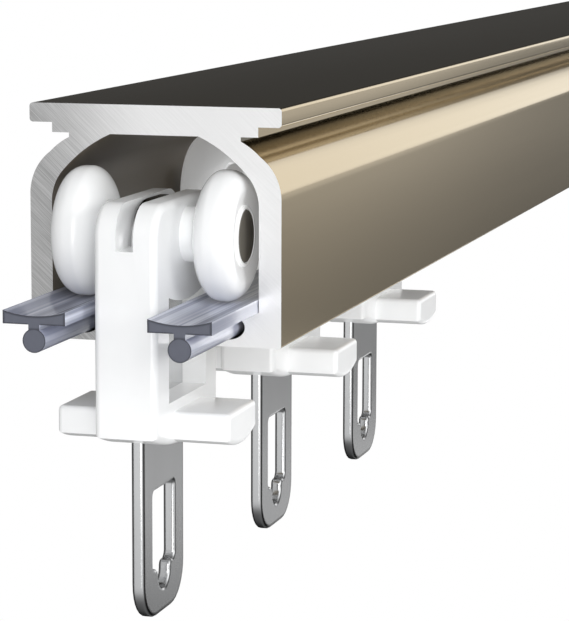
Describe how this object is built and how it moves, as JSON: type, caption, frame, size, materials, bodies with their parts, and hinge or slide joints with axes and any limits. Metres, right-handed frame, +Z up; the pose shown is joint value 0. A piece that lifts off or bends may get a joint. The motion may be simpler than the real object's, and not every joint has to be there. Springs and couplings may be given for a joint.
{
  "type": "curtain track",
  "caption": "Ceiling curtain track: an open channel profile with lipped running strips, and roller carriers whose hanging plates have a keyhole eye for a hook.",
  "frame": {"origin": "middle of the flat top face of the flange", "axes": "+X across the track to the right seen from the cut end, +Y along the track away from that end, +Z up towards the ceiling"},
  "size_m": [0.0302, 0.4173, 0.0591],
  "materials": {
    "bronze_aluminium": "bronze anodised extrusion, bare brushed metal on the sawn ends",
    "strip_plastic": "smooth extruded grey-violet plastic, satin",
    "white_moulding": "glossy white moulded nylon",
    "steel_plate": "stamped and tumbled stainless steel, satin",
    "steel_pin": "turned steel with polished heads",
    "bush_sleeve": "smooth pale sleeve"
  },
  "bodies": {
    "track": {"track_profile": "bronze_aluminium", "running_strip_left": "strip_plastic", "running_strip_right": "strip_plastic"},
    "carrier_1": {"carrier_body_1": "white_moulding", "hanger_plate_1": "steel_plate", "axle_1": "steel_pin"},
    "wheel_left_1": {"wheel_left_1": "white_moulding", "bush_left_1": "bush_sleeve"},
    "wheel_right_1": {"wheel_right_1": "white_moulding", "bush_right_1": "bush_sleeve"},
    "carrier_2": {"carrier_body_2": "white_moulding", "hanger_plate_2": "steel_plate", "axle_2": "steel_pin"},
    "wheel_left_2": {"wheel_left_2": "white_moulding", "bush_left_2": "bush_sleeve"},
    "wheel_right_2": {"wheel_right_2": "white_moulding", "bush_right_2": "bush_sleeve"},
    "carrier_3": {"carrier_body_3": "white_moulding", "hanger_plate_3": "steel_plate", "axle_3": "steel_pin"},
    "wheel_left_3": {"wheel_left_3": "white_moulding", "bush_left_3": "bush_sleeve"},
    "wheel_right_3": {"wheel_right_3": "white_moulding", "bush_right_3": "bush_sleeve"}
  },
  "joints": [
    {"name": "carrier_1_roll", "type": "slide", "parent": "track", "child": "carrier_1", "axis": [0, 1, 0], "range_m": [-0.008, 0.0115]},
    {"name": "wheel_left_1_spin", "type": "hinge", "parent": "carrier_1", "child": "wheel_left_1", "pos_m": [-0.0082, -0.1991, -0.01465], "axis": [1, 0, 0], "continuous": true},
    {"name": "wheel_right_1_spin", "type": "hinge", "parent": "carrier_1", "child": "wheel_right_1", "pos_m": [0.0082, -0.1991, -0.01465], "axis": [1, 0, 0], "continuous": true},
    {"name": "carrier_2_roll", "type": "slide", "parent": "track", "child": "carrier_2", "axis": [0, 1, 0], "range_m": [-0.0115, 0.0115]},
    {"name": "wheel_left_2_spin", "type": "hinge", "parent": "carrier_2", "child": "wheel_left_2", "pos_m": [-0.0082, -0.1523, -0.01465], "axis": [1, 0, 0], "continuous": true},
    {"name": "wheel_right_2_spin", "type": "hinge", "parent": "carrier_2", "child": "wheel_right_2", "pos_m": [0.0082, -0.1523, -0.01465], "axis": [1, 0, 0], "continuous": true},
    {"name": "carrier_3_roll", "type": "slide", "parent": "track", "child": "carrier_3", "axis": [0, 1, 0], "range_m": [-0.0115, 0.29]},
    {"name": "wheel_left_3_spin", "type": "hinge", "parent": "carrier_3", "child": "wheel_left_3", "pos_m": [-0.0082, -0.1055, -0.01465], "axis": [1, 0, 0], "continuous": true},
    {"name": "wheel_right_3_spin", "type": "hinge", "parent": "carrier_3", "child": "wheel_right_3", "pos_m": [0.0082, -0.1055, -0.01465], "axis": [1, 0, 0], "continuous": true}
  ]
}
